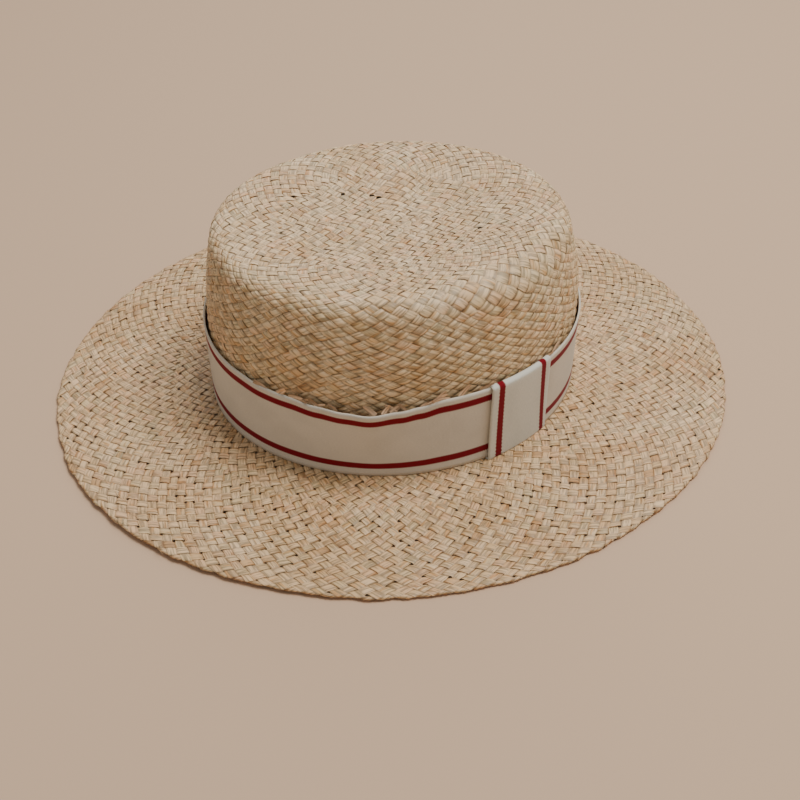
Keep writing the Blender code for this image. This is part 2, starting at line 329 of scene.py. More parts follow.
class StrawSurface:
    """The middle of the straw's wall as a table of points and normals by angle and by distance along the straw.

    The outer skin is moved in by half the wall along its normals. At the edge it turns round the fold and
    runs back under the brim for the width of the hem."""

    def __init__(self, shape):
        angles = np.arange(COLUMNS) * (TURN / COLUMNS)
        skin, reach, lift = straw_profile(shape, angles)
        layer = shape.hem_thickness / 4
        inset = np.full(len(skin), shape.wall / 2)
        near_edge = 12
        inset[-near_edge:] = np.linspace(shape.wall / 2, layer, near_edge)
        middle = skin - outward_normals(skin) * inset[:, None, None]
        fold = []
        for turn in np.linspace(math.pi / 2, -math.pi / 2, FOLD_RINGS + 1)[1:]:
            outset = reach - shape.hem_thickness / 2 + layer * math.cos(turn)
            fold.append(on_oval(shape, outset, lift + 2 * layer + layer * math.sin(turn), angles))
        for share in np.linspace(0.0, 1.0, FOLD_RINGS + 1)[1:]:
            outset = reach - shape.hem_thickness / 2 - shape.hem_width * share
            fold.append(on_oval(shape, outset, lift + layer, angles))
        rings = np.concatenate([middle, np.array(fold)])
        steps = np.linalg.norm(np.diff(rings, axis=0), axis=2).mean(axis=1)
        marks = np.concatenate([[0.0], np.cumsum(steps)])
        self.rim = marks[TIP_RINGS - 1]
        self.foot = marks[TIP_RINGS + CORNER_RINGS + WALL_RINGS - 1]
        self.edge = marks[len(middle) - 1]
        self.end = marks[-1]
        self.step = 0.0005
        self.places = np.arange(0.0, self.end, self.step)
        table = np.empty((len(self.places), COLUMNS, 3))
        for column in range(COLUMNS):
            for axis in range(3):
                table[:, column, axis] = np.interp(self.places, marks, rings[:, column, axis])
        self.points = np.concatenate([table, table[:, :1]], axis=1)
        normals = outward_normals(table)
        self.normals = np.concatenate([normals, normals[:, :1]], axis=1)
        self.radii = np.maximum(np.linalg.norm(table[:, :, :2], axis=2).mean(axis=1), 0.001)

    def at(self, angles, places):
        """Points and normals at these angles and distances, blended from the four nearest of the table."""
        column = (angles % TURN) * (COLUMNS / TURN)
        row = np.clip(places / self.step, 0, len(self.places) - 1.001)
        left = np.minimum(column.astype(int), COLUMNS - 1)
        upper = row.astype(int)
        across = (column - left)[..., None]
        below = (row - upper)[..., None]
        found = []
        for table in (self.points, self.normals):
            first = table[upper, left] * (1 - across) + table[upper, left + 1] * across
            second = table[upper + 1, left] * (1 - across) + table[upper + 1, left + 1] * across
            found.append(first * (1 - below) + second * below)
        points, normals = found
        return points, normals / np.linalg.norm(normals, axis=-1, keepdims=True)


def waves(seed, count, longest):
    """Numbers for a smooth random field: whole waves round the hat, waves along the straw, phases and heights."""
    maker = default_rng(seed)
    round_it = maker.integers(-longest, longest + 1, count)
    along = maker.uniform(-longest, longest, count) / 0.09
    return round_it, along, maker.uniform(0, TURN, count), maker.uniform(0.4, 1.0, count) / math.sqrt(count / 2)


def field(numbers, angles, places):
    """A smooth random field: the sum of height times sine of (waves round + waves along + phase)."""
    total = np.zeros(np.broadcast(angles, places).shape)
    for round_it, along, phase, height in zip(*numbers):
        total += height * np.sin(round_it * angles + along * places + phase)
    return total


# Fields that move the weave round the hat and along the straw, tint it in patches and nick the brim's edge.
MOVE_ROUND, MOVE_ALONG, PATCHES, NICKS = waves(11, 22, 9), waves(12, 22, 9), waves(13, 18, 12), waves(14, 50, 120)


def strand_shades(weave_seed, count, cells):
    """A colour for each sample of each strand: a shade picked for the strand, which drifts to a second one."""
    maker = default_rng(weave_seed)
    table = np.array(STRAW_SHADES)
    odds = table[:, 0] / table[:, 0].sum()
    picked = table[maker.choice(len(table), (4, count), p=odds), 1:]
    drift = []
    for _ in range(3):
        pace, phase = maker.uniform(0.2, 0.9, (count, 1)), maker.uniform(0, TURN, (count, 1))
        drift.append(smooth(0.5 + 0.5 * np.sin(pace * cells + phase))[..., None])
    first = picked[0][:, None] * (1 - drift[0]) + picked[1][:, None] * drift[0]
    second = picked[2][:, None] * (1 - drift[1]) + picked[3][:, None] * drift[1]
    return first * (1 - drift[2]) + second * drift[2]


def strand_width(weave_seed, count, cells):
    """How far each strand strays sideways and how wide it is, in strand widths, as sums of slow sines."""
    maker = default_rng(weave_seed + 1)
    stray = np.zeros((count, len(cells)))
    width = np.zeros((count, len(cells)))
    for pace in (0.35, 0.8, 1.7):
        phase = maker.uniform(0, TURN, (2, count, 1))
        stray += 0.016 * np.sin(pace * cells[None, :] + phase[0])
        width += 0.020 * np.sin(1.3 * pace * cells[None, :] + phase[1])
    own = maker.normal(0, 0.020, (count, 1))
    return stray, np.clip(0.945 + own + width, 0.83, 0.99)


def over_under(phase, sharpness):
    """Which side of the weave a strand is on, from 1 over to -1 under and back in two cells: a cosine whose
    tanh makes it flat on top and steep between."""
    return np.tanh(sharpness * np.cos(math.pi * phase)) / np.tanh(sharpness)


def gape(one, two, sizes, share, family):
    """Opens the corners between strands: a strand's sides draw in at each corner by a share of the corner's size
    times exp(-(distance along the strand / 0.3) squared)."""
    near_one, near_two = np.rint(one), np.rint(two)
    size = share * sizes[near_one.astype(int) % len(sizes), near_two.astype(int) % len(sizes)]
    along = two - near_two if family == "left" else one - near_one
    inward = -2 * ACROSS * size * np.exp(-((along / 0.3) ** 2))
    return (one + inward, two) if family == "left" else (one, two + inward)


def corner_sizes(count, seed, share, widest):
    """How far the weave gapes at each corner: a little everywhere, and up to the widest at a share of them."""
    maker = default_rng(seed)
    sizes = maker.uniform(0.0, 0.03, (count, count))
    return np.where(maker.random((count, count)) < share, maker.uniform(0.3, 1.0, (count, count)) * widest, sizes)


class StrandSheet:
    """Grids of strand points gathered into one mesh. Each grid is strands by samples along by samples across."""

    def __init__(self):
        self.points = []
        self.colours = []
        self.strands = 0
        self.uvs = []
        self.faces = []
        self.used = 0

    def add(self, points, colours, cells, flipped):
        """Adds a grid of strands. Its UV runs along each strand, with one row of the map for each strand."""
        count, along, across = points.shape[:3]
        index = self.used + np.arange(count * along * across).reshape(count, along, across)
        corners = [index[:, :-1, :-1], index[:, 1:, :-1], index[:, 1:, 1:], index[:, :-1, 1:]]
        quads = np.stack(corners[::-1] if flipped else corners, axis=-1).reshape(-1, 4)
        self.faces.append(quads)
        self.points.append(points.reshape(-1, 3))
        self.colours.append(np.broadcast_to(colours, (count, along, across, 3)).reshape(-1, 3))
        run = np.broadcast_to((cells - cells[0])[None, :, None], (count, along, across))
        side = np.linspace(0.08, 0.92, across)[None, None, :] + self.strands + np.arange(count)[:, None, None]
        side = np.broadcast_to(side, (count, along, across))
        self.uvs.append(np.stack([run, side], axis=-1).reshape(-1, 2))
        self.used += index.size
        self.strands += count

    def mesh(self, name):
        """The mesh of all the grids, with its colours and its UV map, and the longest strand's cells."""
        points = np.concatenate(self.points)
        faces = np.concatenate(self.faces)
        uvs = np.concatenate(self.uvs)
        longest = uvs[:, 0].max()
        mesh = bpy.data.meshes.new(name)
        mesh.vertices.add(len(points))
        mesh.vertices.foreach_set("co", points.astype(np.float32).ravel())
        mesh.loops.add(len(faces) * 4)
        mesh.loops.foreach_set("vertex_index", faces.astype(np.int32).ravel())
        mesh.polygons.add(len(faces))
        mesh.polygons.foreach_set("loop_start", (np.arange(len(faces)) * 4).astype(np.int32))
        mesh.polygons.foreach_set("use_smooth", np.ones(len(faces), dtype=bool))
        mesh.update(calc_edges=True)
        shade = mesh.attributes.new("shade", "FLOAT_COLOR", "POINT")
        colours = np.concatenate([np.concatenate(self.colours), np.ones((len(points), 1))], axis=1)
        shade.data.foreach_set("color", colours.astype(np.float32).ravel())
        layer = mesh.uv_layers.new(name="OFBake")
        corners = uvs[faces.ravel()] / np.array([longest, self.strands])
        layer.data.foreach_set("uv", corners.astype(np.float32).ravel())
        mesh.validate()
        return mesh, longest


def strand_height(surface, weave, wave, places, tilt):
    """Height of a strand's skin over the straw's middle: the relief times the wave, plus its round back
    (1 - (2 across) squared) and a slight tilt. Strands are puffier on the wall and flatter at the edge."""
    puffy = on_wall(surface, places)
    flat = 1 - 0.45 * ease((places - surface.edge + 0.008) / 0.008)
    relief = (weave.relief + weave.wall_relief * puffy) * flat
    back = 1 - (2 * ACROSS) ** 2
    return wave * relief + weave.bulge * (1 + 1.2 * puffy) * back + weave.relief * tilt * ACROSS


def on_wall(surface, places):
    """1 on the crown's wall and 0 on tip and brim. It eases up over 18 mm from 4 mm before the rim, and down over
    the last 8 mm before the wall's foot."""
    onto = ease((places - surface.rim + 0.004) / 0.018)
    off = ease((places - surface.foot + 0.008) / 0.008)
    return onto * (1 - off)


def lay_strands(sheet, surface, weave, angles, places, wave, cells, seed, flipped):
    """Puts strand points on the straw's surface, astray by a smooth field, lifts them by their height and
    colours them: a shade for each strand, and painted shade that darkens it where it dives under the next one."""
    maker = default_rng(seed + 5)
    count = len(angles)
    tilt = maker.normal(0, 0.5, (count, 1)) * np.sin(1.1 * cells[None, :] + maker.uniform(0, TURN, (count, 1)))
    height = strand_height(surface, weave, wave, places, tilt[..., None])
    radii = np.interp(places, surface.places, surface.radii)
    wander = weave.wander * ease((surface.edge + 0.004 - places) / 0.012)
    turned = angles + wander * field(MOVE_ROUND, angles, places) / np.maximum(radii, 0.02)
    moved = places + wander * field(MOVE_ALONG, angles, places)
    points, normals = surface.at(turned, moved)
    rough = weave.edge_rough * ease((moved - surface.edge + 0.004) / 0.004)
    outward = np.stack([np.cos(turned), np.sin(turned), np.zeros_like(turned)], axis=-1)
    points = points + outward * (rough * field(NICKS, turned, places * 0))[..., None]
    patch = 1 + 0.04 * field(PATCHES, angles, places)[..., None] * np.array([0.5, 1.0, 1.6])
    onto = ease((places - surface.foot + 0.004) / 0.004)[..., None]
    puffy = on_wall(surface, places)[..., None]
    # The brim's colour over the crown's, and the wall's painted cooler tint against the brim's warm bounce light.
    tone = (1 + onto * (np.array(weave.brim_tone) - 1)) * (1 + puffy * (np.array(weave.wall_bounce_tint) - 1))
    steps = np.floor(np.broadcast_to(cells, (count, len(cells))) - cells[0]).astype(int)
    # Painted shade: where a strand dives under the next one its colour is darkened, by a random depth in each cell,
    # to stand in for the shade there.
    shade_depth = np.take_along_axis(maker.random((count, steps.max() + 1)) ** 1.5, steps, axis=1)[..., None]
    diving = (1 - ease((wave + 0.45) / 0.8)) * ease((wave + 1) / 0.15)
    painted_shade = 1 - weave.painted_shade * shade_depth * diving
    shades = strand_shades(seed + 3, count, cells)[:, :, None] * patch * tone * painted_shade[..., None]
    sheet.add(points + normals * height[..., None], shades, cells, flipped)


def ring_strands(sheet, surface, weave, ring, family, seed, leads, dive):
    """Strands that wind round the hat one way, of one width wherever they are. Strand and cross strand numbers
    are count * angle / turn +- crossings(distance); the sine of a strand's lean is its pitch over the spacing
    round the ring, and crossings grows by one over the spacing times the tangent of the lean. On the wall a
    strand swells where it is over and narrows where it is under."""
    count, pitch, start, stop, gaping = ring
    spacing = TURN * surface.radii / count
    lean = np.arcsin(np.minimum(pitch / spacing, STEEPEST))
    pace = 1 / (spacing * np.tan(lean))
    crossed = np.concatenate([[0.0], np.cumsum((pace[1:] + pace[:-1]) / 2 * surface.step)])
    first = np.interp(start, surface.places, crossed)
    cells_end = 2 * (np.interp(stop, surface.places, crossed) - first)
    maker = default_rng(seed + 7)
    even = np.arange(int(math.ceil((cells_end + sum(leads)) * SAMPLES)) + 1) / SAMPLES - leads[0]
    past = np.clip((even - cells_end) / max(leads[1], 0.1), 0, 1) * leads[1] * maker.uniform(0.0, 0.5, (count, 1))
    cells = (even - past)[..., None]
    stray, width = strand_width(seed, count, even)
    puffy = on_wall(surface, np.interp(cells / 2 + first, crossed, surface.places))
    side_up = 1 if family == "left" else -1
    wave = side_up * (over_under(cells, FLAT_DIVE) * (1 - puffy) + over_under(cells, WALL_DIVE) * puffy)
    swollen = 1 + puffy * (0.04 + 0.07 * wave)
    side = stray[..., None] + width[..., None] * swollen * ACROSS
    own = np.arange(count)[:, None, None] + 0.5
    one, two = (own + side, own - cells) if family == "left" else (own + cells, own + side)
    one, two = np.broadcast_arrays(one, two)
    sizes = corner_sizes(count, int(start * 1e6), weave.gape_share, weave.gape_size)
    if start == weave.middle:
        sizes[RING_HOLE] = HOLE
    one, two = gape(one, two, sizes, gaping * (1 - puffy), family)
    angles = TURN / count * (one + two) / 2
    places = np.interp((one - two) / 2 + first, crossed, surface.places)
    if dive[0]:
        wave = wave - (wave + TUCK) * (1 - ease((cells + leads[0]) / 0.9))
    if dive[1]:
        wave = wave - (wave + TUCK) * ease((cells - cells_end + 0.2) / 0.9)
    lay_strands(sheet, surface, weave, angles, places, wave, even, seed, family == "right")


def middle_strands(sheet, surface, weave, family, seed):
    """Straight strands across the tip's middle, a square weave clipped to a disc.
    Strand and cross strand numbers are x / pitch and y / pitch, turned to the hat."""
    reach = weave.middle / weave.pitch + 0.9
    sizes = corner_sizes(64, 77, weave.gape_share, weave.gape_size)
    for across, along in TIP_HOLES:
        sizes[across, along] = HOLE
    cosine, sine = math.cos(weave.middle_turn), math.sin(weave.middle_turn)
    for number in range(-int(reach), int(reach)):
        half = math.sqrt(reach**2 - (number + 0.5) ** 2)
        steps = int(half * SAMPLES)
        even = np.arange(-steps, steps + 1) / SAMPLES
        cells = even[None, :, None]
        stray, width = strand_width(seed + number, 1, even)
        side = number + 0.5 + stray[..., None] + width[..., None] * ACROSS
        wave = over_under(cells + number + 0.5, FLAT_DIVE) * (-1 if family == "left" else 1)
        one, two = np.broadcast_arrays(*((side, cells) if family == "left" else (cells, side)))
        one, two = gape(one, two, sizes, CROWN_GAPE, family)
        inward = ease(half - np.abs(cells))
        wave = wave * inward - TUCK * (1 - inward)
        x = weave.pitch * (one * cosine - two * sine)
        y = weave.pitch * (one * sine + two * cosine)
        angles, places = np.arctan2(y, x), np.hypot(x, y)
        lay_strands(sheet, surface, weave, angles, places, wave, even, seed + number, family == "left")


def drawing(maker, count):
    """A function that draws a random number between two limits for each of a count of straws."""
    return lambda low, high: maker.uniform(low, high, (count, 1, 1))


def loose_ends(sheet, shape, ribbon, seed):
    """Short curled ends of straw over the ribbon's top edge: each starts behind the ribbon and runs up and
    sideways along a straight line on the oval, lifting off it by a curl times share squared, and narrows by
    share squared to its tip."""
    maker = default_rng(seed)
    starts = np.concatenate([np.full(many, angle) for angle, many in LOOSE_ENDS])
    count = len(starts)
    draw = drawing(maker, count)
    starts = np.radians(starts + maker.normal(0, 3.4, count))[:, None, None]
    share = np.linspace(0.0, 1.0, 9)[None, :, None]
    length = draw(0.0046, 0.0084)
    width = draw(0.0018, 0.0032) * (1 - 0.5 * share**2)
    heading = draw(math.radians(35), math.radians(78)) * maker.choice([-1, 1], (count, 1, 1))
    curl = draw(0.0008, 0.0034)
    run = np.sin(heading) * length * share + np.cos(heading) * width * ACROSS
    rise = np.cos(heading) * length * share - np.sin(heading) * width * ACROSS
    angles = starts + run / OVAL_RADIUS
    lean, top = band_face(shape, ribbon, 1.0, angles)
    outset = 0.0008 + 0.75 * (lean - ribbon.gap) * (1 - share) + curl * share**2 + 0.00025 * (1 - (2 * ACROSS) ** 2)
    points = on_oval(shape, outset, top - 0.0004 + rise, angles)
    shades = np.array([1.00, 0.98, 1.10]) * maker.uniform(0.55, 1.15, (count, 1, 1, 1))
    sheet.add(points, shades, np.linspace(0.0, 1.5, 9), False)


def stray_fibres(sheet, surface, count, seed):
    """Thin loose fibres near the brim's edge: each lies along the surface on a bent line and arches over it."""
    maker = default_rng(seed)
    draw = drawing(maker, count)
    thickness = 0.00025
    share = np.linspace(0.0, 1.0, 13)[None, :, None]
    starts = draw(0, TURN)
    length = draw(0.006, 0.015)
    heading = draw(0, TURN) + maker.normal(0, 0.9, (count, 1, 1)) * share
    radii = surface.radii[np.searchsorted(surface.places, surface.edge - 0.006)]
    angles = starts + (np.cos(heading) * length * share + np.sin(heading) * thickness * ACROSS) / radii
    places = surface.edge - draw(0.001, 0.012) + np.sin(heading) * length * share * 0.5
    places = places - np.cos(heading) * thickness * ACROSS
    points, normals = surface.at(angles, np.minimum(places, surface.edge))
    beyond = np.maximum(places - surface.edge, 0.0)
    points[..., 0] += beyond * np.cos(angles)
    points[..., 1] += beyond * np.sin(angles)
    arch = 0.0007 + draw(0.0, 0.0014) * 4 * share * (1 - share)
    shades = np.array([1.05, 0.98, 0.90]) * maker.uniform(0.7, 1.1, (count, 1, 1, 1))
    sheet.add(points + normals * arch[..., None], shades, np.linspace(0.0, 3.0, 13), False)


class Recipe:
    """Builds a node material: add() makes a node and sets its inputs, from values or from other nodes' outputs."""

    def __init__(self, name):
        self.material = bpy.data.materials.new(name)
        self.material.use_nodes = True
        self.tree = self.material.node_tree
        self.tree.nodes.clear()

    def add(self, kind, settings=None, **inputs):
        """Makes a node, sets its own settings, and sets or links its inputs by name or by number."""
        node = self.tree.nodes.new(kind)
        for key, value in (settings or {}).items():
            setattr(node, key, value)
        for key, value in inputs.items():
            numbered = key[0] == "i" and key[1:].isdigit()
            target = node.inputs[int(key[1:]) if numbered else key.replace("_", " ")]
            if isinstance(value, bpy.types.NodeSocket):
                self.tree.links.new(value, target)
            else:
                target.default_value = value
        return node.outputs

    def calc(self, operation, *values):
        """A Math node of these values."""
        return self.add("ShaderNodeMath", {"operation": operation}, **{f"i{n}": v for n, v in enumerate(values)})[0]

    def mix(self, factor, first, second, blend="MIX"):
        """A colour mix of two colours."""
        settings = {"data_type": "RGBA", "blend_type": blend}
        return self.add("ShaderNodeMix", settings, i0=factor, i6=first, i7=second)[2]

    def ramp(self, factor, low, high, to_low=0.0, to_high=1.0):
        """A smooth step of a value from one range to another."""
        settings = {"interpolation_type": "SMOOTHSTEP"}
        return self.add("ShaderNodeMapRange", settings, i0=factor, i1=low, i2=high, i3=to_low, i4=to_high)[0]

    def noise(self, vector, scale, detail, roughness):
        """Noise over a vector stretched by a scale."""
        spread = self.add("ShaderNodeMapping", Vector=vector, Scale=scale)[0]
        return self.add("ShaderNodeTexNoise", Vector=spread, Scale=1.0, Detail=detail, Roughness=roughness)[0]

    def finish(self, **inputs):
        """The surface shader and the output."""
        shader = self.add("ShaderNodeBsdfPrincipled", **inputs)
        self.add("ShaderNodeOutputMaterial", Surface=shader[0])
        return self.material


def straw_material(name, colour, strands, cells):
    """Dry flat straw: each strand's shade, fine fibres along it, a few darker streaks, strand edges that are darker
    brown in places, and a dull gloss."""
    recipe = Recipe(name)
    uv = recipe.add("ShaderNodeUVMap", {"uv_map": "OFBake"})[0]
    fibres = recipe.noise(uv, (cells * FIBRES[0], strands * FIBRES[1], 1.0), 3.0, 0.6)
    streaks = recipe.noise(uv, (cells * STREAKS[0], strands * STREAKS[1], 1.0), 1.0, 0.5)
    shade = recipe.add("ShaderNodeAttribute", {"attribute_name": "shade"})[0]
    body = recipe.mix(1.0, (*colour, 1.0), shade, "MULTIPLY")
    grain = recipe.ramp(fibres, 0.39, 0.59, 0.60, 1.22)
    body = recipe.mix(1.0, body, grain, "MULTIPLY")
    stained = recipe.mix(1.0, body, STAINED, "MULTIPLY")
    body = recipe.mix(recipe.ramp(streaks, 0.57, 0.70, 0.0, 0.85), body, stained)
    beside = recipe.calc("MULTIPLY", recipe.add("ShaderNodeSeparateXYZ", Vector=uv)[1], float(strands))
    beside = recipe.calc("ABSOLUTE", recipe.calc("SUBTRACT", recipe.calc("FRACT", beside), 0.5))
    brown_edges = recipe.calc("MULTIPLY", recipe.ramp(beside, 0.30, 0.42), recipe.ramp(streaks, 0.44, 0.56, 0.0, 0.75))
    body = recipe.mix(brown_edges, body, recipe.mix(1.0, body, EDGE_BROWN, "MULTIPLY"))
    roughness = recipe.ramp(fibres, 0.3, 0.7, 0.44, 0.62)
    bump = recipe.add("ShaderNodeBump", Strength=0.8, Distance=0.00035, Height=fibres)[0]
    return recipe.finish(Base_Color=body, Roughness=roughness, Specular_IOR_Level=0.5, Normal=bump)


def ribbon_material(name, colours, ribbon, length, tone, shift):
    """Ribbed cotton ribbon: crosswise ribs, fine threads, and two stripes with stepped woven edges."""
    recipe = Recipe(name)
    uv = recipe.add("ShaderNodeUVMap", {"uv_map": "OFBake"})[0]
    parts = recipe.add("ShaderNodeSeparateXYZ", Vector=uv)
    along = recipe.calc("MULTIPLY", parts[0], length)
    across = recipe.calc("SUBTRACT", recipe.calc("MULTIPLY", parts[1], ribbon.width), shift)
    from_edge = recipe.calc("MINIMUM", across, recipe.calc("SUBTRACT", ribbon.width, across))
    tooth = recipe.calc("PINGPONG", along, TOOTH)
    tooth = recipe.ramp(tooth, 0.3 * TOOTH, 0.7 * TOOTH, -TOOTH_HEIGHT, TOOTH_HEIGHT)
    off = recipe.calc("SUBTRACT", recipe.calc("ADD", from_edge, tooth), ribbon.stripe_inset)
    off = recipe.calc("ABSOLUTE", off)
    half = ribbon.stripe_width / 2
    stripe = recipe.ramp(off, half - 0.00010, half + 0.00010, 1.0, 0.0)
    ribs = recipe.calc("SINE", recipe.calc("MULTIPLY", along, TURN / RIB))
    fine = recipe.noise(uv, (length * 900, ribbon.width * 5200, 1.0), 2.0, 0.6)
    cloudy = recipe.noise(uv, (length * 40, ribbon.width * 60, 1.0), 2.0, 0.5)
    # The tone paints the cloth lighter on the keeper, standing in for the brighter light on it; on the band it is
    # 1.
    cloth = [part * over for part, over in zip(colours.cloth, tone)]
    greyed = [part * 0.93 for part in cloth]
    ground = recipe.mix(recipe.ramp(cloudy, 0.35, 0.65), (*cloth, 1.0), (*greyed, 1.0))
    body = recipe.mix(stripe, ground, (*colours.stripe, 1.0))
    body = recipe.mix(1.0, body, recipe.ramp(fine, 0.25, 0.75, 0.90, 1.08), "MULTIPLY")
    rise = recipe.calc("ADD", recipe.calc("MULTIPLY", ribs, 0.5), recipe.calc("MULTIPLY", fine, 1.2))
    bump = recipe.add("ShaderNodeBump", Strength=0.30, Distance=0.00012, Height=rise)[0]
    finish = {"Roughness": 0.80, "Specular_IOR_Level": 0.18, "Sheen_Weight": 0.05}
    return recipe.finish(Base_Color=body, Normal=bump, **finish)


def put(name, data):
    """Puts a new object of this data into the scene."""
    thing = bpy.data.objects.new(name, data)
    bpy.context.scene.collection.objects.link(thing)
    return thing


def keep(name, mesh, material, slot, *nodes):
    """Puts a piece into the scene on the hat's only body, standing for the nodes that it replaces."""
    mesh.materials.append(material)
    piece = put(name, mesh)
    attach(piece, "root")
    if nodes:
        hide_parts(*nodes)
    return piece


def keep_straw(name, sheet, scene):
    """Makes a piece of a sheet of strands, with its straw material."""
    mesh, longest = sheet.mesh(name)
    material = straw_material(name, scene.boater_colours.straw, sheet.strands, longest)
    keep(name, mesh, material, "straw", "straw_body")


def oval_sheet(name, grid, closed):
    """A thin mesh of a grid of points (along by across), with a UV map that runs along and across it."""
    along, across = grid.shape[:2]
    index = np.arange(along * across).reshape(along, across)
    after = np.roll(index, -1, axis=0) if closed else index[1:]
    before = index if closed else index[:-1]
    quads = np.stack([before[:, :-1], after[:, :-1], after[:, 1:], before[:, 1:]], axis=-1).reshape(-1, 4)
    mesh = bpy.data.meshes.new(name)
    mesh.from_pydata(grid.reshape(-1, 3).tolist(), [], quads.tolist())
    mesh.shade_smooth()
    steps = len(before)
    run = np.arange(steps)[:, None, None] + np.array([0, 1, 1, 0])[None, None, :]
    side = np.arange(across - 1)[None, :, None] + np.array([0, 0, 1, 1])[None, None, :]
    run, side = np.broadcast_arrays(run / steps, side / (across - 1))
    layer = mesh.uv_layers.new(name="OFBake")
    layer.data.foreach_set("uv", np.stack([run, side], axis=-1).astype(np.float32).ravel())
    return mesh


def band_face(shape, ribbon, share, angles):
    """Outset and height of the middle of the band at a share of its width: it leans out as a power of share."""
    lean = ribbon.width * around(BAND_SLACK, 1, angles) * share**ribbon.lean_power
    dip = ribbon.width * around(BAND_SLACK, 2, angles) * share
    return ribbon.gap + lean, ribbon.foot + ribbon.width * share - dip


class BOATER_OT_crown_tip(bpy.types.Operator):
    """Weaves the square middle of the crown's tip"""

    bl_idname = "boater.crown_tip"
    bl_label = "Weave crown tip"

    def execute(self, context):
        scene = context.scene
        weave = scene.boater_weave
        surface = StrawSurface(scene.boater_shape)
        sheet = StrandSheet()
        for number, family in enumerate(("left", "right")):
            middle_strands(sheet, surface, weave, family, 100 + 50 * number)
        keep_straw("crown_tip_weave", sheet, scene)
        return {"FINISHED"}


class BOATER_OT_crown_side(bpy.types.Operator):
    """Weaves the crown from the tip's middle over the rim and down the wall"""

    bl_idname = "boater.crown_side"
    bl_label = "Weave crown side"

    def execute(self, context):
        scene = context.scene
        weave = scene.boater_weave
        surface = StrawSurface(scene.boater_shape)
        ring = (weave.crown_strands, weave.pitch, weave.middle, surface.foot, CROWN_GAPE)
        for number, family in enumerate(("left", "right")):
            sheet = StrandSheet()
            ring_strands(sheet, surface, weave, ring, family, 300 + 10 * number, (0.0, 0.4), (False, True))
            keep_straw(f"crown_strands_{family}", sheet, scene)
        return {"FINISHED"}


class BOATER_OT_brim(bpy.types.Operator):
    """Weaves the brim in two rings and turns its edge under as a hem"""

    bl_idname = "boater.brim"
    bl_label = "Weave brim"

    def execute(self, context):
        scene = context.scene
        weave = scene.boater_weave
        surface = StrawSurface(scene.boater_shape)
        seam = surface.foot + (surface.edge - surface.foot) * weave.edge_start
        inner = (weave.brim_strands, weave.brim_pitch, surface.foot - 0.001, seam, 1.0)
        outer = (weave.edge_strands, weave.brim_pitch, seam, surface.end - 0.001, 1.0)
        for number, family in enumerate(("left", "right")):
            sheet = StrandSheet()
            ring_strands(sheet, surface, weave, inner, family, 400 + 10 * number, (0.5, 0.8), (False, True))
            ring_strands(sheet, surface, weave, outer, family, 500 + 10 * number, (0.0, 0.0), (False, False))
            keep_straw(f"brim_strands_{family}", sheet, scene)
        return {"FINISHED"}


class BOATER_OT_ends(bpy.types.Operator):
    """Adds the ragged straw ends over the ribbon and the loose fibres at the brim's edge"""

    bl_idname = "boater.ends"
    bl_label = "Add loose ends"

    def execute(self, context):
        scene = context.scene
        surface = StrawSurface(scene.boater_shape)
        sheet = StrandSheet()
        loose_ends(sheet, scene.boater_shape, scene.boater_ribbon, 61)
        stray_fibres(sheet, surface, 46, 62)
        keep_straw("loose_straw_ends", sheet, scene)
        return {"FINISHED"}


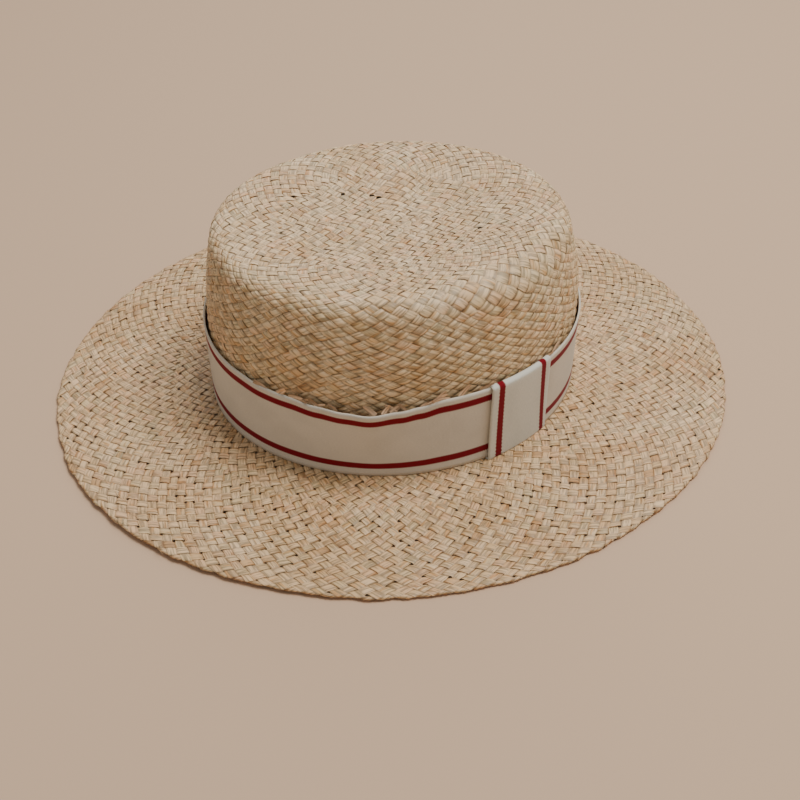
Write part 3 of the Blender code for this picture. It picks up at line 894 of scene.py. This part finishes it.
class BOATER_OT_ribbon(bpy.types.Operator):
    """Lays the striped ribbon round the crown and folds the keeper over it"""

    bl_idname = "boater.ribbon"
    bl_label = "Tie ribbon"

    def execute(self, context):
        scene = context.scene
        shape, ribbon, colours = scene.boater_shape, scene.boater_ribbon, scene.boater_colours
        angles = np.arange(COLUMNS) * (TURN / COLUMNS)
        shares = np.linspace(0.0, 1.0, 25)
        outset, heights = band_face(shape, ribbon, shares[None, :], angles[:, None])
        grid = on_oval(shape, outset + ribbon.space / 2, heights, angles[:, None])
        steps = np.diff(np.append(grid, grid[:1], axis=0), axis=0)
        length = np.linalg.norm(steps, axis=2).mean(axis=1).sum()
        mesh = oval_sheet("ribbon_band", grid, True)
        material = ribbon_material("ribbon", colours, ribbon, length, (1.0, 1.0, 1.0), ribbon.stripe_shift)
        band = keep("band_ribbon", mesh, material, "ribbon", "ribbon_band")
        self.thicken(band, ribbon.thickness)
        grid, run = self.keeper_grid(shape, ribbon)
        mesh = oval_sheet("ribbon_keeper", grid, False)
        # The keeper's copy of the ribbon's cloth, painted lighter for the brighter light on it.
        material = ribbon_material("keeper_ribbon", colours, ribbon, run, ribbon.keeper_light_tint, 0.0)
        keeper = keep("keeper_ribbon", mesh, material, "keeper_ribbon", "ribbon_keeper")
        self.thicken(keeper, ribbon.thickness)
        return {"FINISHED"}

    def thicken(self, piece, thickness):
        """Gives a sheet its thickness evenly to both sides."""
        solid = piece.modifiers.new("Thickness", "SOLIDIFY")
        solid.thickness = thickness
        solid.offset = 0.0

    def keeper_grid(self, shape, ribbon):
        """Points of the keeper, along by across: up behind the band, over its top edge in a half turn, down its
        front and in under its foot. Across, it spans one ribbon width along the oval, and its left edge lifts."""
        middle = ribbon.space / 2
        bend = ribbon.space + ribbon.gap
        front = bend + middle
        foot = -ribbon.width - ribbon.gap - middle
        turns = np.linspace(math.pi, 0.0, 11)
        outsets = [middle - bend, *(middle + bend * np.cos(turns)), *np.full(12, front)]
        heights = [-ribbon.keeper_tail, *(bend * np.sin(turns)), *(-ribbon.width * np.linspace(0.05, 0.98, 12))]
        turns = np.linspace(0.0, math.pi / 2, 6)[1:]
        outsets = np.array([*outsets, *(front - ribbon.space * (1 - np.cos(turns))), middle])
        heights = np.array([*heights, *(foot + ribbon.space * (1 - np.sin(turns))), foot])
        run = float(np.hypot(np.diff(outsets), np.diff(heights)).sum())
        stretch = math.hypot(
            (shape.head_width / 2 + shape.wall) * math.sin(ribbon.keeper_angle),
            (shape.head_length / 2 + shape.wall) * math.cos(ribbon.keeper_angle),
        )
        across = np.linspace(-0.5, 0.5, 33)
        angles = across * ribbon.width / stretch
        level = ribbon.foot + ribbon.width + heights[:, None]
        share = np.clip((level - ribbon.foot) / ribbon.width, 0.0, 1.0)
        tucked = 1 - 0.5 * (1 - share)
        margin = 0.37
        drawn_in = (margin + (across - margin) * tucked) / np.maximum(across, 0.1)
        angles = np.where(across > margin, drawn_in, 1.0) * angles
        narrow = ribbon.keeper_foot + (ribbon.keeper_top - ribbon.keeper_foot) * share
        turned = ribbon.keeper_angle + angles * narrow + ribbon.keeper_skew * (0.5 - share)
        lean = ribbon.width * around(BAND_SLACK, 1, turned) * share**ribbon.lean_power
        lift = ribbon.keeper_lift * (0.5 - across[None, :]) ** 4 * (outsets[:, None] > ribbon.space)
        grid = on_oval(shape, ribbon.gap + lean + outsets[:, None] + lift, level, turned)
        return grid[::-1], run


class BOATER_OT_stage(bpy.types.Operator):
    """Sets the floor, the camera and the soft studio light"""

    bl_idname = "boater.stage"
    bl_label = "Set stage"

    def execute(self, context):
        scene = context.scene
        studio = scene.boater_studio
        recipe = Recipe("floor")
        colour = (*scene.boater_colours.floor, 1.0)
        material = recipe.finish(Base_Color=colour, Roughness=0.9, Specular_IOR_Level=0.1)
        mesh = bpy.data.meshes.new("floor")
        corners = [(x * FLOOR_REACH, y * FLOOR_REACH, 0) for x, y in ((-1, -1), (1, -1), (1, 1), (-1, 1))]
        mesh.from_pydata(corners, [], [(0, 1, 2, 3)])
        mesh.materials.append(material)
        floor = put("floor", mesh)
        floor.location = (0.0, 0.0, -FLOOR_DROP)
        place, aim = Vector(studio.camera), Vector(studio.aim)
        back = (place - aim).normalized()
        right = Vector((-back.y, back.x, 0.0)).normalized()
        above = back.cross(right)
        cosine, sine = math.cos(studio.roll), math.sin(studio.roll)
        axes = (right * cosine + above * sine, above * cosine - right * sine, back)
        data = bpy.data.cameras.new("camera")
        data.lens = studio.lens
        data.sensor_width = 36.0
        data.clip_start = 0.01
        camera = put("camera", data)
        camera.matrix_world = Matrix.Translation(place) @ Matrix(axes).transposed().to_4x4()
        scene.camera = camera
        for light in LIGHTS:
            self.light(*light)
        world = bpy.data.worlds.new("studio")
        world.use_nodes = True
        background = world.node_tree.nodes["Background"]
        background.inputs[0].default_value = AMBIENT
        background.inputs[1].default_value = AMBIENT_STRENGTH
        scene.world = world
        return {"FINISHED"}

    def light(self, name, place, size, power, colour):
        """A square soft light that faces the hat."""
        data = bpy.data.lights.new(name, "AREA")
        data.energy = power
        data.size = size
        data.color = colour
        lamp = put(name, data)
        lamp.location = place
        lamp.rotation_euler = (-Vector(place)).to_track_quat("-Z", "Y").to_euler()


class BOATER_PT_panel(bpy.types.Panel):
    """Lists the hat's pieces"""

    bl_label = "Boater"
    bl_idname = "BOATER_PT_panel"
    bl_space_type = "VIEW_3D"
    bl_region_type = "UI"
    bl_category = "Boater"

    def draw(self, context):
        for step in STEPS:
            self.layout.operator(step.bl_idname)


GROUPS = {
    "boater_shape": BoaterShape,
    "boater_weave": BoaterWeave,
    "boater_colours": BoaterColours,
    "boater_ribbon": BoaterRibbon,
    "boater_studio": BoaterStudio,
}
STEPS = (
    BOATER_OT_crown_tip,
    BOATER_OT_crown_side,
    BOATER_OT_brim,
    BOATER_OT_ends,
    BOATER_OT_ribbon,
    BOATER_OT_stage,
)


def register():
    """Adds the hat's settings to the scene, and its operators and panel."""
    for name, group in GROUPS.items():
        bpy.utils.register_class(group)
        setattr(bpy.types.Scene, name, PointerProperty(type=group))
    for step in (*STEPS, BOATER_PT_panel):
        bpy.utils.register_class(step)


def unregister():
    """Takes them away again, in the other order."""
    for step in (BOATER_PT_panel, *reversed(STEPS)):
        bpy.utils.unregister_class(step)
    for name, group in reversed(GROUPS.items()):
        delattr(bpy.types.Scene, name)
        bpy.utils.unregister_class(group)


def main():
    """Builds the hat and its stage."""
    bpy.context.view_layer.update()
    register()
    bpy.ops.boater.crown_tip()
    bpy.ops.boater.crown_side()
    bpy.ops.boater.brim()
    bpy.ops.boater.ends()
    bpy.ops.boater.ribbon()
    bpy.ops.boater.stage()


if __name__ == "__main__":
    main()
